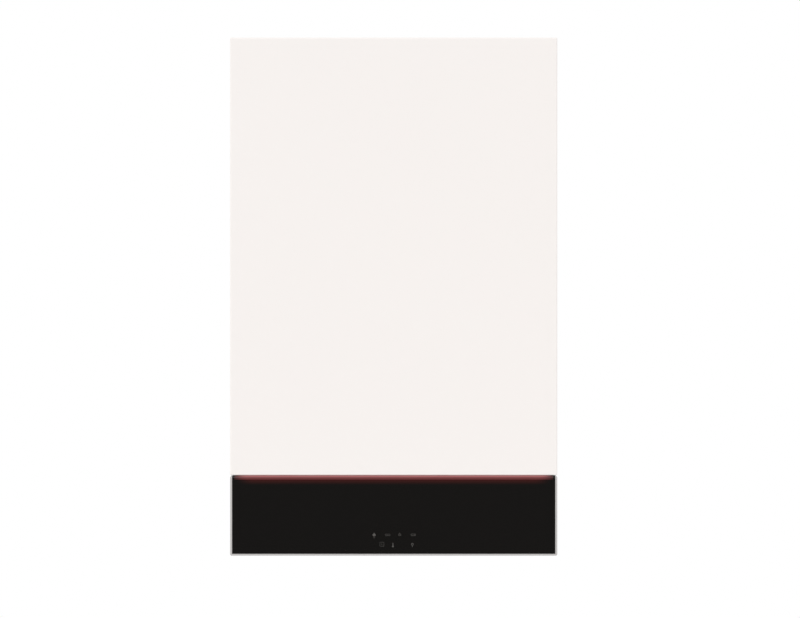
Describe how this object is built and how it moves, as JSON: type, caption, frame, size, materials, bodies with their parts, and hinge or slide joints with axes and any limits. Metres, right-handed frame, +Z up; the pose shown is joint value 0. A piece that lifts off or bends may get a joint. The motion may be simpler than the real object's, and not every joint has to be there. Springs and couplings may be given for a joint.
{
  "type": "combi boiler",
  "caption": "Wall-hung condensing combi boiler with a storage cylinder inside, lift-off white cover and black control panel that folds down.",
  "frame": {"origin": "on the wall plane, midway between the two screw holes of the wall bracket", "axes": "+X to the right seen from the front, +Y towards the wall, +Z up"},
  "size_m": [0.6, 0.5, 0.95],
  "materials": {
    "white_enamel": "white powder coat, satin",
    "galvanised": "galvanised sheet",
    "stainless": "stainless steel",
    "aluminium": "cast",
    "brass": "machined",
    "copper": "copper tube",
    "black_gloss": "high gloss black",
    "red_light": "lit red diffuser",
    "black_plastic": "matt black",
    "grey_plastic": "matt grey",
    "white_plastic": "matt white",
    "circuit_green": "circuit board",
    "foam_white": null,
    "foam_dark": "foam rubber",
    "felt_dark": "sound-deadening felt",
    "rubber": "matt",
    "vessel_red": "red paint",
    "ceramic": "ceramic fibre",
    "black_iron": "black coated"
  },
  "bodies": {
    "casing": {"wall_bracket": "galvanised", "rear_frame": "galvanised", "left_side_panel": "white_enamel", "right_side_panel": "white_enamel", "top_panel": "white_enamel", "lower_tray": "galvanised", "casing_seal": "foam_dark", "heat_exchanger_bracket": "galvanised", "heat_exchanger_housing": "stainless", "heat_exchanger_coil": "stainless", "burner_door": "aluminium", "door_insulation": "ceramic", "burner_cylinder": "stainless", "electrodes": "ceramic", "door_nuts": "galvanised", "fan_housing": "aluminium", "fan_motor": "black_plastic", "gas_air_mixer": "aluminium", "intake_pipe": "black_plastic", "gas_valve": "aluminium", "gas_supply_pipe": "copper", "gas_mixer_pipe": "copper", "flue_outlet": "stainless", "flue_socket": "white_plastic", "condensate_hose": "grey_plastic", "condensate_trap": "grey_plastic", "expansion_vessel": "vessel_red", "vessel_hose": "rubber", "diverter_valve": "black_plastic", "diverter_motor": "white_plastic", "pump_housing": "black_plastic", "pump_motor": "black_iron", "charge_pump": "black_iron", "plate_heat_exchanger": "stainless", "flow_pipe": "copper", "return_pipe": "copper", "safety_valve": "brass", "air_vent": "brass", "storage_tank": "stainless", "tank_insulation_front": "foam_white", "tank_insulation_rear": "foam_white", "hot_water_pipe": "copper", "cold_water_pipe": "copper", "pipe_grommets": "rubber", "hinge_brackets": "galvanised"},
    "cover": {"front_cover": "white_enamel", "cover_insulation": "felt_dark"},
    "control_panel": {"control_fascia": "black_gloss", "light_strip": "red_light", "display_module": "black_plastic", "control_housing": "black_plastic", "control_board": "circuit_green", "housing_lid": "black_plastic"},
    "rocker": {"mains_switch": "black_plastic"},
    "fan_rotor": {"fan_impeller": "aluminium"},
    "pump_rotor": {"pump_impeller": "grey_plastic"},
    "charge_rotor": {"charge_impeller": "grey_plastic"},
    "diverter_plug": {"diverter_spindle": "stainless"},
    "relief_knob": {"safety_valve_knob": "red_light"},
    "cup": {"trap_cup": "grey_plastic"}
  },
  "joints": [
    {"name": "cover_lift_off", "type": "slide", "parent": "casing", "child": "cover", "axis": [0, -0.5736, 0.8192], "range_m": [0, 0.9]},
    {"name": "control_fold", "type": "hinge", "parent": "casing", "child": "control_panel", "pos_m": [0, -0.398, -0.844], "axis": [1, 0, 0], "range_deg": [0, 90]},
    {"name": "switch_rock", "type": "hinge", "parent": "control_panel", "child": "rocker", "pos_m": [0.205, -0.478, -0.8512], "axis": [1, 0, 0], "range_deg": [0, 16]},
    {"name": "fan_spin", "type": "hinge", "parent": "casing", "child": "fan_rotor", "pos_m": [-0.11, -0.36, -0.075], "axis": [0, -1, 0], "continuous": true},
    {"name": "pump_spin", "type": "hinge", "parent": "casing", "child": "pump_rotor", "pos_m": [0.165, -0.19, -0.74], "axis": [0, -1, 0], "continuous": true},
    {"name": "charge_pump_spin", "type": "hinge", "parent": "casing", "child": "charge_rotor", "pos_m": [0.094, -0.3, -0.744], "axis": [1, 0, 0], "continuous": true},
    {"name": "diverter_travel", "type": "slide", "parent": "casing", "child": "diverter_plug", "axis": [1, 0, 0], "range_m": [0, 0.008]},
    {"name": "relief_turn", "type": "hinge", "parent": "casing", "child": "relief_knob", "pos_m": [0.256, -0.15, -0.755], "axis": [1, 0, 0], "range_deg": [0, 90]},
    {"name": "cup_pull_down", "type": "slide", "parent": "casing", "child": "cup", "axis": [0, 0, -1], "range_m": [0, 0.06]}
  ]
}
